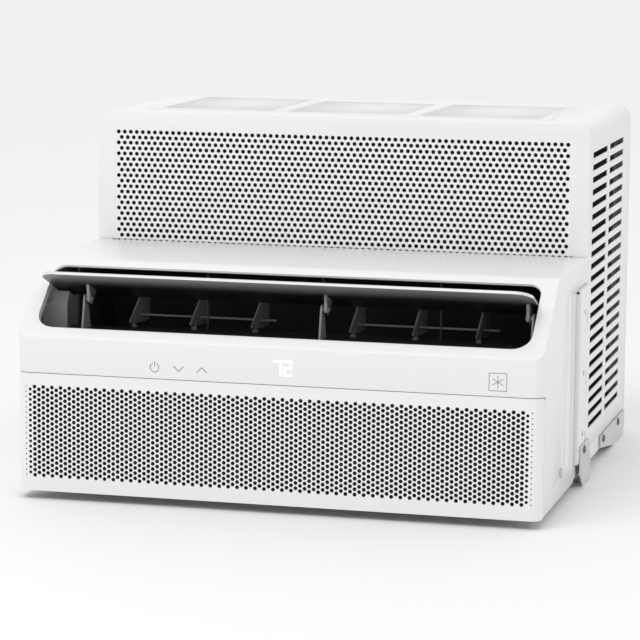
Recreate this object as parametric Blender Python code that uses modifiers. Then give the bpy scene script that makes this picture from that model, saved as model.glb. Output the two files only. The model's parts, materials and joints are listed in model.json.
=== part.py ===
"""Window air conditioner: a low indoor unit with an intake grille, an outlet with a swinging flap and
six swinging vanes, in front of a taller louvred outdoor case. The window sash closes onto the deck.

Frame: +Z up, the room side faces -Y, X is the width. The origin is at the middle of the footprint.
Every length is in metres.
"""

import math

import bmesh
import bpy
from mathutils import Matrix, Vector

# Driving dimensions
CASE_WIDTH = 0.560
INDOOR_DEPTH = 0.265
OUTDOOR_DEPTH = 0.295
OUTDOOR_TOP = 0.390
DECK_TOP = 0.245
UNDERSIDE = 0.010
CREASE_HEIGHT = 0.173
SLOPE_ANGLE = math.radians(40)
CORNER_RADIUS = 0.012
DECK_RADIUS = 0.030
CASE_CORNER_RADIUS = 0.014
PLASTIC = 0.003
SHEET = 0.0012
GAP = 0.0003
REACH = 0.05

# Intake grille
GRILLE_TOP = 0.1342
GRILLE_WRAP = 0.0154
GRILLE_WALL = 0.0025
GRILLE_SEAM = 0.0009
GRILLE_PIN_RADIUS = 0.002
GRILLE_PIN_X = 0.235
GRILLE_PIN_SETBACK = 0.010
GRILLE_PIN_HEIGHT = 0.0125

# Outlet, measured up the slope from the crease
OUTLET_LOW = 0.014
OUTLET_HIGH = 0.103
OUTLET_HALF_WIDTH = 0.264
OUTLET_LOW_RADIUS = 0.020
OUTLET_HIGH_RADIUS = 0.014
LIP_DEPTH = 0.009
LIP_WALL = 0.002

# Flap: closed in the slope, turned up about its pins
FLAP_GAP = 0.0015
FLAP_WALL = 0.003
FLAP_OPEN = math.radians(62)
FLAP_PIVOT_UP = 0.069
FLAP_PIVOT_DEPTH = 0.015
FLAP_PIN_RADIUS = 0.0022
FLAP_ARMS = (-0.2200, 0.0400, 0.2530)
ARM_WALL = 0.003
ARM_RADIUS = 0.006
SUPPORT_WALL = 0.002
SUPPORT_OFFSET = 0.005

# Vanes, two gangs of three, and their tie rods
VANE_FIRST = 0.054
VANE_PITCH = 0.068
VANES_IN_GANG = 3
VANE_WALL = 0.0018
VANE_PIVOT_Y = -0.160
VANE_PIN_RADIUS = 0.002
ROD_Y = -0.140
ROD_HEIGHT = 0.0120
ROD_RADIUS = 0.0012
ROD_OVERHANG = 0.018
STAY_PITCH = 0.127
STAY_CENTRE = 0.026
STAY_RADIUS = 0.001
STAY_Y = -0.1790

# Air path
DUCT_LEFT = -0.2455
DUCT_RIGHT = 0.2615
DUCT_WALL = 0.002
BLOWER_Y = -0.118
BLOWER_Z = 0.100
BLOWER_RADIUS = 0.042
BLOWER_LEFT = -0.236
BLOWER_RIGHT = 0.198
BLOWER_BLADES = 18
SHAFT_RADIUS = 0.004

# Outdoor half
FAN_X = 0.080
FAN_Z = 0.205
FAN_RADIUS = 0.142
FAN_HUB_RADIUS = 0.024
FAN_BLADES = 5
FAN_TIP_GAP = 0.008
MOTOR_RADIUS = 0.045
COMPRESSOR_Y = 0.115
COMPRESSOR_RADIUS = 0.056
COMPRESSOR_HEIGHT = 0.200
ACCUMULATOR_X = -0.246
ACCUMULATOR_Y = 0.072
ACCUMULATOR_RADIUS = 0.019
ACCUMULATOR_CLEARANCE = 0.008
COIL_DEPTH = 0.026
PIPE_RADIUS = 0.004
CAPILLARY_RADIUS = 0.0016
SUCTION_Z = 0.120
CAPILLARY_Z = 0.042

# Louvres in the sides of the outdoor case
SLOT_PITCH = 0.0136
SLOT_HEIGHT = 0.0065
SLOT_TOP_MARGIN = 0.0328
SLOT_BOTTOM_MARGIN = 0.022
SLOT_FRONT_MARGIN = 0.0235
SLOT_REAR_MARGIN = 0.0534
SLOT_POST = 0.0171
PANEL_FOLD = 0.018

# Side rails, feet and base
BASE_FLOOR = 0.0125
BASE_RIM = 0.0285
RAIL_FRONT = 0.0680
RAIL_PROUD = 0.004
RAIL_WALL = 0.0015
RAIL_TOP = 0.2175
RAIL_SLOT_PITCH = 0.0665
LUG_WALL = 0.0015
SCREW_HEAD_RADIUS = 0.0045
SCREW_HEAD_HEIGHT = 0.0022
SCREW_RADIUS = 0.002

HALF_WIDTH = CASE_WIDTH / 2
SPLIT_Y = (INDOOR_DEPTH - OUTDOOR_DEPTH) / 2
FRONT_Y = SPLIT_Y - INDOOR_DEPTH
REAR_Y = SPLIT_Y + OUTDOOR_DEPTH
RAIL_Y = SPLIT_Y - RAIL_FRONT
RAIL_X = HALF_WIDTH + RAIL_PROUD
PAN_TOP = BASE_FLOOR + SHEET
ACCUMULATOR_REACH = COMPRESSOR_RADIUS + ACCUMULATOR_CLEARANCE + ACCUMULATOR_RADIUS
COMPRESSOR_X = ACCUMULATOR_X + math.sqrt(ACCUMULATOR_REACH**2 - (COMPRESSOR_Y - ACCUMULATOR_Y) ** 2)
SEAM_Y = FRONT_Y + GRILLE_WRAP
SLOPE_UP = Vector((0, math.cos(SLOPE_ANGLE), math.sin(SLOPE_ANGLE)))
SLOPE_OUT = Vector((0, -math.sin(SLOPE_ANGLE), math.cos(SLOPE_ANGLE)))
CREASE = Vector((0, FRONT_Y, CREASE_HEIGHT))
FLAP_PIVOT = CREASE + SLOPE_UP * FLAP_PIVOT_UP - SLOPE_OUT * FLAP_PIVOT_DEPTH
GRILLE_PIVOT = Vector((0, FRONT_Y + GRILLE_PIN_SETBACK, GRILLE_PIN_HEIGHT))

PLANES = {
    "YZ": Matrix(((0, 0, 1, 0), (1, 0, 0, 0), (0, 1, 0, 0), (0, 0, 0, 1))),
    "XZ": Matrix(((1, 0, 0, 0), (0, 0, -1, 0), (0, 1, 0, 0), (0, 0, 0, 1))),
    "XY": Matrix.Identity(4),
}

MATERIALS = {
    "white_plastic": ((0.86, 0.86, 0.86), 0.30, 0.0),
    "white_paint": ((0.84, 0.84, 0.84), 0.35, 0.0),
    "grey_paint": ((0.55, 0.56, 0.57), 0.45, 0.0),
    "dark_plastic": ((0.05, 0.05, 0.055), 0.45, 0.0),
    "grey_plastic": ((0.14, 0.14, 0.145), 0.50, 0.0),
    "black_paint": ((0.02, 0.02, 0.022), 0.45, 0.0),
    "aluminium": ((0.75, 0.76, 0.77), 0.35, 1.0),
    "galvanised": ((0.62, 0.63, 0.64), 0.40, 1.0),
    "copper": ((0.72, 0.38, 0.24), 0.30, 1.0),
    "rubber": ((0.02, 0.02, 0.02), 0.80, 0.0),
    "board": ((0.02, 0.16, 0.07), 0.50, 0.0),
    "screw_steel": ((0.30, 0.30, 0.31), 0.35, 1.0),
    "filter_mesh": ((0.10, 0.10, 0.11), 0.80, 0.0),
}


# Scene helpers


def clear_scene():
    for obj in list(bpy.data.objects):
        bpy.data.objects.remove(obj, do_unlink=True)


def new_collection(name):
    collection = bpy.data.collections.new(name)
    bpy.context.scene.collection.children.link(collection)
    return collection


def new_material(name):
    color, roughness, metallic = MATERIALS[name]
    material = bpy.data.materials.new(name)
    material.use_nodes = True
    shader = material.node_tree.nodes["Principled BSDF"]
    shader.inputs["Base Color"].default_value = (*color, 1)
    shader.inputs["Roughness"].default_value = roughness
    shader.inputs["Metallic"].default_value = metallic
    return material


def add_object(name, mesh):
    obj = bpy.data.objects.new(name, mesh)
    PARTS.objects.link(obj)
    return obj


def mesh_from(name, form):
    mesh = bpy.data.meshes.new(name)
    form.to_mesh(mesh)
    form.free()
    return mesh


def apply_modifiers(obj):
    """Replace the object's mesh by its evaluated mesh, so that helpers can be removed."""
    bpy.context.view_layer.update()
    graph = bpy.context.evaluated_depsgraph_get()
    mesh = bpy.data.meshes.new_from_object(obj.evaluated_get(graph))
    obj.modifiers.clear()
    obj.data = mesh


def combine(obj, others, operation):
    """Join or cut an object with others, which are used up."""
    for other in others:
        modifier = obj.modifiers.new(operation.lower(), "BOOLEAN")
        modifier.operation = operation
        modifier.object = other
    apply_modifiers(obj)
    for other in others:
        bpy.data.objects.remove(other, do_unlink=True)
    return obj


def cut(obj, *others):
    return combine(obj, others, "DIFFERENCE")


def join(obj, *others):
    return combine(obj, others, "UNION")


def keep(obj, *others):
    return combine(obj, others, "INTERSECT")


def merged(name, objects):
    """One cutter made of separate bodies that do not touch."""
    form = bmesh.new()
    for obj in objects:
        form.from_mesh(obj.data)
        bpy.data.objects.remove(obj, do_unlink=True)
    return add_object(name, mesh_from(name, form))


def finish(obj, material):
    obj.data.materials.clear()
    obj.data.materials.append(SHARED[material])
    obj.data.shade_smooth()
    obj.data.set_sharp_from_angle(angle=math.radians(30))
    return obj


# Shape helpers


def box(name, low, high):
    form = bmesh.new()
    bmesh.ops.create_cube(form, size=1)
    size = Vector(high) - Vector(low)
    middle = (Vector(high) + Vector(low)) / 2
    bmesh.ops.scale(form, vec=size, verts=form.verts)
    bmesh.ops.translate(form, vec=middle, verts=form.verts)
    return add_object(name, mesh_from(name, form))


def rounded(corners, segments=6):
    """An outline with an arc at each corner (u, v, radius)."""
    points = []
    count = len(corners)
    for index, (u, v, radius) in enumerate(corners):
        corner = Vector((u, v))
        if radius == 0:
            points.append(corner)
            continue
        before = (Vector(corners[index - 1][:2]) - corner).normalized()
        after = (Vector(corners[(index + 1) % count][:2]) - corner).normalized()
        half = before.angle(after) / 2
        centre = corner + (before + after).normalized() * radius / math.sin(half)
        start = corner + before * radius / math.tan(half) - centre
        end = corner + after * radius / math.tan(half) - centre
        turn = start.angle_signed(end)
        for step in range(segments + 1):
            angle = -turn * step / segments
            points.append(centre + Matrix.Rotation(angle, 2) @ start)
    return points


def prism(name, outline, low, high, plane="YZ"):
    """A flat outline extruded across its plane, from low to high."""
    form = bmesh.new()
    face = form.faces.new([form.verts.new((u, v, 0)) for u, v in outline])
    grown = bmesh.ops.extrude_face_region(form, geom=[face])
    top = [item for item in grown["geom"] if isinstance(item, bmesh.types.BMVert)]
    bmesh.ops.translate(form, vec=(0, 0, high - low), verts=top)
    start = -high if plane == "XZ" else low
    bmesh.ops.translate(form, vec=(0, 0, start), verts=form.verts)
    bmesh.ops.transform(form, matrix=PLANES[plane], verts=form.verts)
    bmesh.ops.recalc_face_normals(form, faces=form.faces)
    return add_object(name, mesh_from(name, form))


def cylinder(name, start, end, radius, segments=20, end_radius=None):
    form = bmesh.new()
    along = Vector(end) - Vector(start)
    bmesh.ops.create_cone(
        form,
        cap_ends=True,
        segments=segments,
        radius1=radius,
        radius2=radius if end_radius is None else end_radius,
        depth=along.length,
    )
    place = Matrix.Translation((Vector(start) + Vector(end)) / 2)
    place @= along.to_track_quat("Z", "Y").to_matrix().to_4x4()
    bmesh.ops.transform(form, matrix=place, verts=form.verts)
    return add_object(name, mesh_from(name, form))


def turned(name, profile, centre, axis="Z", steps=28):
    """A closed solid of revolution: (radius, height) pairs from the top down."""
    form = bmesh.new()
    verts = [form.verts.new((radius, 0, height)) for radius, height in profile]
    for first, second in zip(verts, verts[1:]):
        form.edges.new((first, second))
    obj = add_object(name, mesh_from(name, form))
    screw = obj.modifiers.new("turn", "SCREW")
    screw.steps = steps
    screw.render_steps = steps
    screw.use_merge_vertices = True
    screw.merge_threshold = 1e-6
    apply_modifiers(obj)
    turn = {
        "Z": Matrix.Identity(4),
        "Y": Matrix.Rotation(-math.pi / 2, 4, "X"),
        "X": Matrix.Rotation(math.pi / 2, 4, "Y"),
    }
    obj.data.transform(Matrix.Translation(centre) @ turn[axis])
    return obj


def tube(name, points, radius):
    """A round pipe along a smooth route, with filled ends."""
    curve = bpy.data.curves.new(name, "CURVE")
    curve.dimensions = "3D"
    curve.bevel_depth = radius
    curve.bevel_resolution = 2
    curve.use_fill_caps = True
    spline = curve.splines.new("POLY")
    spline.points.add(len(points) - 1)
    for point, place in zip(spline.points, points):
        point.co = (*place, 1)
    obj = bpy.data.objects.new(name, curve)
    PARTS.objects.link(obj)
    bpy.context.view_layer.update()
    graph = bpy.context.evaluated_depsgraph_get()
    mesh = bpy.data.meshes.new_from_object(obj.evaluated_get(graph))
    bpy.data.objects.remove(obj, do_unlink=True)
    form = bmesh.new()
    form.from_mesh(mesh)
    bmesh.ops.remove_doubles(form, verts=form.verts, dist=1e-6)
    bmesh.ops.recalc_face_normals(form, faces=form.faces)
    return add_object(name, mesh_from(name, form))


def bent(corners, radius, steps=4):
    """A route with a round bend at each inner corner."""
    route = [Vector(corners[0])]
    for before, corner, after in zip(corners, corners[1:], corners[2:]):
        corner = Vector(corner)
        start = corner + (Vector(before) - corner).normalized() * radius
        end = corner + (Vector(after) - corner).normalized() * radius
        for step in range(steps + 1):
            share = step / steps
            route.append(start * (1 - share) ** 2 + corner * 2 * share * (1 - share) + end * share**2)
    route.append(Vector(corners[-1]))
    return route


def strip(path, wall):
    """The outline of a thin wall that follows a path of (u, v) points."""
    points = [Vector(point) for point in path]
    sides = []
    for index, point in enumerate(points):
        before = points[max(index - 1, 0)]
        after = points[min(index + 1, len(points) - 1)]
        along = (after - before).normalized()
        sides.append(Vector((-along.y, along.x)) * wall / 2)
    return [p + s for p, s in zip(points, sides)] + [p - s for p, s in reversed(list(zip(points, sides)))]


def slope_point(up, out, x=0.0):
    return Vector((x, 0, 0)) + CREASE + SLOPE_UP * up + SLOPE_OUT * out


def slope_prism(name, outline, low, high):
    """An outline in (x, distance up the slope), extruded along the slope's normal."""
    obj = prism(name, outline, low, high, "XY")
    frame = Matrix.Identity(4)
    frame.col[0] = (1, 0, 0, 0)
    frame.col[1] = (*SLOPE_UP, 0)
    frame.col[2] = (*SLOPE_OUT, 0)
    frame.col[3] = (*CREASE, 1)
    obj.data.transform(frame)
    return obj


def drill(obj, start, end, radius, segments=16):
    return cut(obj, cylinder("drill", start, end, radius, segments))


def side_name(name, side):
    return name + ("_right" if side > 0 else "_left")


# Indoor unit casing


def indoor_form(name, inset, bottom, rear):
    """The rounded block with the outlet slope, moved in by inset."""
    y = FRONT_Y + inset
    deck = DECK_TOP - inset
    crease = CREASE_HEIGHT - inset * math.tan(math.pi / 4 - SLOPE_ANGLE / 2)
    deck_y = y + (deck - crease) / math.tan(SLOPE_ANGLE)
    profile = rounded(
        (
            (y, bottom, 0),
            (y, crease, 0.004),
            (deck_y, deck, DECK_RADIUS),
            (rear, deck, 0),
            (rear, bottom, 0),
        )
    )
    half = HALF_WIDTH - inset
    radius = CORNER_RADIUS - inset
    back = rear + 0.001
    plan = rounded(((-half, back, 0), (-half, y, radius), (half, y, radius), (half, back, 0)), 8)
    form = prism(name, profile, -half - 0.001, half + 0.001, "YZ")
    return keep(form, prism("plan", plan, bottom - 0.001, deck + 0.001, "XY"))


def outlet_outline(gap, low=OUTLET_LOW, high=OUTLET_HIGH):
    half = OUTLET_HALF_WIDTH - gap
    low_radius = OUTLET_LOW_RADIUS - gap
    high_radius = OUTLET_HIGH_RADIUS - gap
    return rounded(
        (
            (-half, low + gap, low_radius),
            (half, low + gap, low_radius),
            (half, high - gap, high_radius),
            (-half, high - gap, high_radius),
        ),
        7,
    )


def outlet_lip():
    """A block behind the outlet, which leaves a return wall round its bottom and ends once it is cut."""
    block = slope_prism("lip", outlet_outline(-LIP_WALL), -LIP_DEPTH, -PLASTIC / 2)
    top = box("lip_top", (-HALF_WIDTH, 0, -0.05), (HALF_WIDTH, 0.1, 0.05))
    frame = Matrix.Rotation(SLOPE_ANGLE, 4, "X")
    frame.translation = slope_point(OUTLET_HIGH - OUTLET_HIGH_RADIUS - 0.004, 0)
    top.data.transform(frame)
    return cut(block, top)


def make_front_shell():
    shell = indoor_form("front_shell", 0, UNDERSIDE, SPLIT_Y - 0.0012)
    cut(shell, indoor_form("hollow", PLASTIC, UNDERSIDE - REACH, SPLIT_Y + REACH))
    join(shell, outlet_lip())
    cut(shell, slope_prism("outlet", outlet_outline(0), -LIP_DEPTH * 1.3, REACH / 2))
    intake = box("intake", (-RAIL_X, FRONT_Y - REACH, 0), (RAIL_X, SEAM_Y - GAP / 2, GRILLE_TOP + GAP * 2))
    rails = box("rails", (-RAIL_X - REACH, RAIL_Y - GAP * 2, 0), (RAIL_X + REACH, REACH, RAIL_TOP + GAP * 2))
    inlet_y, inlet_z = cord_inlet_place()
    inlet = ((HALF_WIDTH - 0.01, inlet_y, inlet_z), (HALF_WIDTH + 0.01, inlet_y, inlet_z))
    cut(shell, intake, rails, cylinder("hole", *inlet, 0.0043))
    cut(shell, side_band(-1), side_band(1))
    return finish(shell, "white_plastic")


def side_band(side):
    """The shallow upright recess near the rear of each side."""
    low_x, high_x = sorted((side * (HALF_WIDTH - PLASTIC / 2), side * (HALF_WIDTH + REACH)))
    rear = RAIL_Y - 0.020
    return box("band", (low_x, rear - 0.039, 0.032), (high_x, rear, DECK_TOP - 0.030))


def make_front_grille():
    """The intake panel, which wraps round both corners, with its two hinge ears."""
    grille = indoor_form("front_grille", 0, UNDERSIDE + 0.0005, 0)
    cut(grille, indoor_form("hollow", GRILLE_WALL, UNDERSIDE - REACH, REACH))
    keep(grille, box("zone", (-RAIL_X, FRONT_Y - REACH, 0), (RAIL_X, SEAM_Y - GRILLE_SEAM, GRILLE_TOP)))
    _, pin_y, pin_z = GRILLE_PIVOT
    for side in (-1, 1):
        low_x, high_x = sorted((side * (GRILLE_PIN_X - 0.010), side * (GRILLE_PIN_X - 0.007)))
        inner = FRONT_Y + GRILLE_WALL / 2
        outline = rounded(
            (
                (inner, pin_z - 0.004, 0),
                (inner, pin_z + 0.012, 0),
                (pin_y + 0.004, pin_z + 0.004, 0.003),
                (pin_y + 0.004, pin_z - 0.004, 0.003),
            ),
            3,
        )
        ear = prism("ear", outline, low_x, high_x)
        radius = GRILLE_PIN_RADIUS + GAP * 2
        drill(ear, (low_x - 0.01, pin_y, pin_z), (high_x + 0.01, pin_y, pin_z), radius)
        join(grille, ear)
    return finish(grille, "white_plastic")


def make_grille_hinge(side):
    """A bracket on the base with the pin that the grille's ear turns on."""
    _, pin_y, pin_z = GRILLE_PIVOT
    front = pin_y - 0.003
    rear = pan_front() - GAP
    bracket = box(
        side_name("grille_hinge", side),
        (GRILLE_PIN_X - 0.002, front, pin_z - 0.0035),
        (GRILLE_PIN_X + 0.004, rear, pin_z + 0.004),
    )
    pin_end = GRILLE_PIN_X - 0.012
    pin = cylinder("pin", (GRILLE_PIN_X, pin_y, pin_z), (pin_end, pin_y, pin_z), GRILLE_PIN_RADIUS, 14)
    join(bracket, pin)
    if side < 0:
        bracket.data.transform(Matrix.Scale(-1, 4, (1, 0, 0)))
        bracket.data.flip_normals()
    return finish(bracket, "dark_plastic")


def make_air_filter():
    """A framed mesh that is clipped to the back of the grille."""
    front = FRONT_Y + GRILLE_WALL + GAP
    low = Vector((-0.222, front, 0.0300))
    high = Vector((0.222, front + 0.0035, GRILLE_TOP - 0.008))
    frame = box("air_filter", low, high)
    panes = 6
    border = 0.006
    width = (high.x - low.x - border * (panes + 1)) / panes
    windows = []
    for index in range(panes):
        start = low.x + border + index * (width + border)
        corner = (start, front - 0.01, low.z + border)
        windows.append(box("window", corner, (start + width, front + 0.0022, high.z - border)))
    cut(frame, merged("windows", windows))
    return finish(frame, "filter_mesh")


def cord_inlet_place():
    return RAIL_Y - 0.081, BASE_RIM + 0.0075


def make_cord_inlet():
    """The rubber bush that the supply lead leaves through."""
    y, z = cord_inlet_place()
    profile = (
        (0.0, 0.0012),
        (0.0055, 0.0012),
        (0.0058, GAP),
        (0.0040, GAP),
        (0.0040, -PLASTIC - GAP),
        (0.0058, -PLASTIC - GAP),
        (0.0055, -PLASTIC - 0.006),
        (0.0, -PLASTIC - 0.006),
    )
    return finish(turned("cord_inlet", profile, (HALF_WIDTH, y, z), "X", 20), "rubber")


# Flap, its hinges and its drive


def flap_turn():
    """From the closed place in the slope to the open rest pose."""
    back = Matrix.Translation(-FLAP_PIVOT)
    return Matrix.Translation(FLAP_PIVOT) @ Matrix.Rotation(-FLAP_OPEN, 4, "X") @ back


def make_flap():
    plate = slope_prism("discharge_flap", outlet_outline(FLAP_GAP, high=OUTLET_HIGH - 0.0005), -FLAP_WALL, 0)
    for x in FLAP_ARMS:
        join(plate, flap_arm(x))
    plate.data.transform(flap_turn())
    return finish(plate, "white_plastic")


def flap_arm(x):
    """A rib under the flap that ends in a round eye on the hinge axis."""
    low, high = x - ARM_WALL / 2, x + ARM_WALL / 2
    eye = []
    for step in range(9):
        angle = math.pi * step / 8
        up = FLAP_PIVOT_UP + ARM_RADIUS * math.cos(angle)
        eye.append(slope_point(up, -FLAP_PIVOT_DEPTH - ARM_RADIUS * math.sin(angle)))
    foot = [slope_point(FLAP_PIVOT_UP + along, -FLAP_WALL / 2) for along in (-0.014, 0.014)]
    outline = [(point.y, point.z) for point in (foot[1], *eye, foot[0])]
    arm = prism("arm", outline, low, high)
    start = FLAP_PIVOT + Vector((low - 0.01, 0, 0))
    end = FLAP_PIVOT + Vector((high + 0.01, 0, 0))
    return drill(arm, start, end, FLAP_PIN_RADIUS + GAP * 2)


def floor_height(y):
    """Top face of the outlet floor."""
    front, middle, rear = floor_line()
    if y < middle.x:
        return front.y + (y - front.x) * (middle.y - front.y) / (middle.x - front.x)
    return middle.y + (y - middle.x) * (rear.y - middle.y) / (rear.x - middle.x)


def floor_line():
    front = slope_point(OUTLET_LOW + 0.003, -LIP_DEPTH - 0.0015)
    start = Vector((front.y, front.z))
    return start, Vector((-0.190, start.y - 0.0025)), Vector((-0.148, start.y - 0.0105))


def make_outlet_floor():
    """The sloping sill that carries the vanes, with the stabiliser web in front of the blower."""
    front, middle, rear = floor_line()
    wall = DUCT_WALL
    web = BLOWER_Y - BLOWER_RADIUS - 0.0065
    outline = (
        front,
        (front.x, front.y - wall),
        (middle.x, middle.y - wall),
        (web, floor_height(web) - wall),
        (web, BLOWER_Z + 0.016),
        (web + wall, BLOWER_Z + 0.016),
        (web + wall, floor_height(web) - wall - 0.0006),
        (rear.x, rear.y - wall),
        rear,
        middle,
    )
    floor = prism("outlet_floor", outline, DUCT_LEFT + GAP * 2, DUCT_RIGHT - GAP * 2)
    holes = []
    for x in vane_places():
        z = floor_height(VANE_PIVOT_Y)
        low = (x, VANE_PIVOT_Y, z - 0.01)
        high = (x, VANE_PIVOT_Y, z + 0.01)
        holes.append(cylinder("hole", low, high, VANE_PIN_RADIUS + GAP * 2, 14))
    cut(floor, merged("holes", holes))
    return finish(floor, "grey_plastic")


def support_post(x):
    """The upright plate beside one flap arm, with the hinge pin."""
    y, z = FLAP_PIVOT.y, FLAP_PIVOT.z
    foot = floor_height(y - 0.012) + GAP
    angles = [math.pi * step / 6 for step in range(7)]
    top = [(y + 0.005 * math.cos(a), z + 0.005 * math.sin(a)) for a in angles]
    outline = [(y + 0.013, floor_height(y + 0.013) + GAP), *top, (y - 0.012, foot)]
    post = prism("post", outline, x - SUPPORT_WALL / 2, x + SUPPORT_WALL / 2)
    return post


def make_support(name, arm_x, offset):
    post = support_post(arm_x + offset)
    post.name = name
    reach = arm_x - math.copysign(ARM_WALL, offset)
    start = (arm_x + offset, FLAP_PIVOT.y, FLAP_PIVOT.z)
    join(post, cylinder("pin", start, (reach, FLAP_PIVOT.y, FLAP_PIVOT.z), FLAP_PIN_RADIUS, 14))
    return finish(post, "grey_plastic")


def make_supports():
    names = ("flap_hinge_left", "flap_hinge_centre", "flap_hinge_right")
    offsets = (-SUPPORT_OFFSET, -SUPPORT_OFFSET, SUPPORT_OFFSET)
    for name, x, offset in zip(names, FLAP_ARMS, offsets):
        make_support(name, x, offset)


def make_flap_drive():
    """The gear cover at the left end of the outlet and the small motor behind it."""
    low_x = -HALF_WIDTH + PLASTIC + 0.002
    high_x = DUCT_LEFT - DUCT_WALL
    _, pivot_y, pivot_z = FLAP_PIVOT
    front = pivot_y + 0.0045
    back = pivot_y + 0.0675
    floor = 0.1640
    low_top = pivot_z - 0.003
    outline = (
        (front, floor),
        (front, pivot_z - 0.0080),
        (front + 0.007, pivot_z + 0.0055),
        (pivot_y + 0.0315, low_top),
        (back, low_top),
        (back, floor),
    )
    cover = prism("flap_drive_cover", outline, low_x, high_x)
    inside_low = (low_x + 0.002, pivot_y + 0.0265, floor - 0.014)
    cut(cover, box("inside", inside_low, (high_x - 0.002, back - 0.002, low_top - 0.002)))
    finish(cover, "grey_plastic")
    middle = (low_x + high_x) / 2
    y = pivot_y + 0.0455
    profile = ((0.0, 0.198), (0.009, 0.198), (0.0095, 0.197), (0.0095, 0.179), (0.009, 0.178), (0.0, 0.178))
    return finish(turned("flap_motor", profile, (middle, y, 0), steps=20), "galvanised")


# Vanes


def vane_places():
    right = [VANE_FIRST + VANE_PITCH * index for index in range(VANES_IN_GANG)]
    return [-x for x in reversed(right)] + right


def make_vane(name, x):
    """A thin blade on a pin, with an eye for the tie rod."""
    foot = floor_height(VANE_PIVOT_Y)
    outline = rounded(
        (
            (-0.1765, foot + 0.0085, 0.0015),
            (-0.1290, foot + 0.0380, 0.0030),
            (-0.1050, foot + 0.0380, 0.0030),
            (-0.1060, foot + 0.0020, 0.0020),
            (-0.1300, foot + 0.0020, 0),
            (-0.1680, foot + 0.0060, 0),
        ),
        3,
    )
    blade = prism(name, outline, x - VANE_WALL / 2, x + VANE_WALL / 2)
    low = floor_height(VANE_PIVOT_Y) - DUCT_WALL
    pin = cylinder("pin", (x, VANE_PIVOT_Y, low), (x, VANE_PIVOT_Y, foot + 0.012), VANE_PIN_RADIUS, 14)
    collar = cylinder("collar", (x, VANE_PIVOT_Y, foot + 0.0015), (x, VANE_PIVOT_Y, foot + 0.004), 0.0034, 14)
    join(blade, pin)
    join(blade, collar)
    z = foot + ROD_HEIGHT
    drill(blade, (x - 0.01, ROD_Y, z), (x + 0.01, ROD_Y, z), ROD_RADIUS * 2, 12)
    return finish(blade, "dark_plastic")


def make_vanes():
    places = vane_places()
    for index, x in enumerate(places):
        make_vane(f"vane_{index + 1}", x)
    z = floor_height(VANE_PIVOT_Y) + ROD_HEIGHT
    gangs = (("vane_link_left", places[:VANES_IN_GANG]), ("vane_link_right", places[VANES_IN_GANG:]))
    for name, gang in gangs:
        start = (gang[0] - 0.006, ROD_Y, z)
        end = (gang[-1] + ROD_OVERHANG, ROD_Y, z)
        finish(cylinder(name, start, end, ROD_RADIUS, 12), "grey_plastic")


def outlet_stays():
    """Thin upright ribs from the top of the scroll down to the floor."""
    stays = []
    for index in range(3):
        x = STAY_CENTRE + STAY_PITCH * (index - 1)
        low = (x, STAY_Y, floor_height(STAY_Y) + GAP)
        high = (x, STAY_Y, duct_path()[-1].y)
        stays.append(cylinder("stay", low, high, STAY_RADIUS, 10))
    return stays


# Air path


def duct_path():
    """Middle line of the scroll, from under the blower round its back to the top of the outlet."""
    y, z, r = BLOWER_Y, BLOWER_Z, BLOWER_RADIUS
    path = []
    for step in range(9):
        turn = math.radians(-105 + step * 15)
        radius = r + 0.006 + 0.0018 * step
        path.append(Vector((y + radius * math.cos(turn), z + radius * math.sin(turn))))
    top = DECK_TOP - PLASTIC - 0.003
    path.append(Vector((y + 0.058, z + 0.055)))
    path.append(Vector((y + 0.046, z + 0.090)))
    path.append(Vector((y + 0.020, z + 0.118)))
    path.append(Vector((y - 0.015, top - 0.006)))
    path.append(Vector((y - 0.040, top - 0.001)))
    path.append(Vector((STAY_Y + 0.0005, top)))
    return path


def duct_end(name, x, low_front):
    """An end plate that closes the space inside the scroll."""
    path = duct_path()
    mouth = (path[-1].x, floor_height(STAY_Y) - 0.004)
    outline = [*path, mouth, (low_front, BLOWER_Z + 0.010), (low_front, path[0].y)]
    return prism(name, outline, x - DUCT_WALL / 2, x + DUCT_WALL / 2)


def make_scroll():
    path = duct_path()
    start = DUCT_LEFT - DUCT_WALL / 2
    scroll = prism("scroll_housing", strip(path, DUCT_WALL), start, DUCT_RIGHT + DUCT_WALL / 2)
    front = BLOWER_Y - BLOWER_RADIUS
    for x in (DUCT_LEFT - DUCT_WALL / 2 + GAP, DUCT_RIGHT + DUCT_WALL / 2 - GAP):
        join(scroll, duct_end("end", x, front))
    seat = [(p.x, p.y) for p in path[:10]] + [(front, BLOWER_Z + 0.040), (front, path[0].y)]
    join(scroll, prism("motor_wall", seat, BLOWER_RIGHT + 0.008, BLOWER_RIGHT + 0.010))
    far_end = (BLOWER_RIGHT + 0.03, BLOWER_Y, BLOWER_Z)
    drill(scroll, (-RAIL_X, BLOWER_Y, BLOWER_Z), far_end, SHAFT_RADIUS + 0.0006)
    join(scroll, *outlet_stays())
    return finish(scroll, "dark_plastic")


def make_blower():
    """The cross-flow wheel: curved blades held between discs."""
    length = BLOWER_RIGHT - BLOWER_LEFT
    discs = 5
    parts = []
    for index in range(discs):
        x = BLOWER_LEFT + length * index / (discs - 1)
        start = max(x - 0.0015, BLOWER_LEFT)
        end = min(x + 0.0015, BLOWER_RIGHT)
        far = (end, BLOWER_Y, BLOWER_Z)
        parts.append(cylinder("disc", (start, BLOWER_Y, BLOWER_Z), far, BLOWER_RADIUS, 36))
    wheel = parts[0]
    wheel.name = "blower_wheel"
    near_end = (BLOWER_LEFT - 0.011, BLOWER_Y, BLOWER_Z)
    far_end = (BLOWER_RIGHT + 0.016, BLOWER_Y, BLOWER_Z)
    join(wheel, cylinder("shaft", near_end, far_end, SHAFT_RADIUS, 16))
    join(wheel, *parts[1:])
    blades = []
    for index in range(BLOWER_BLADES):
        angle = 2 * math.pi * index / BLOWER_BLADES
        blades.append(blower_blade(angle))
    join(wheel, merged("blades", blades))
    return finish(wheel, "black_paint")


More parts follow.
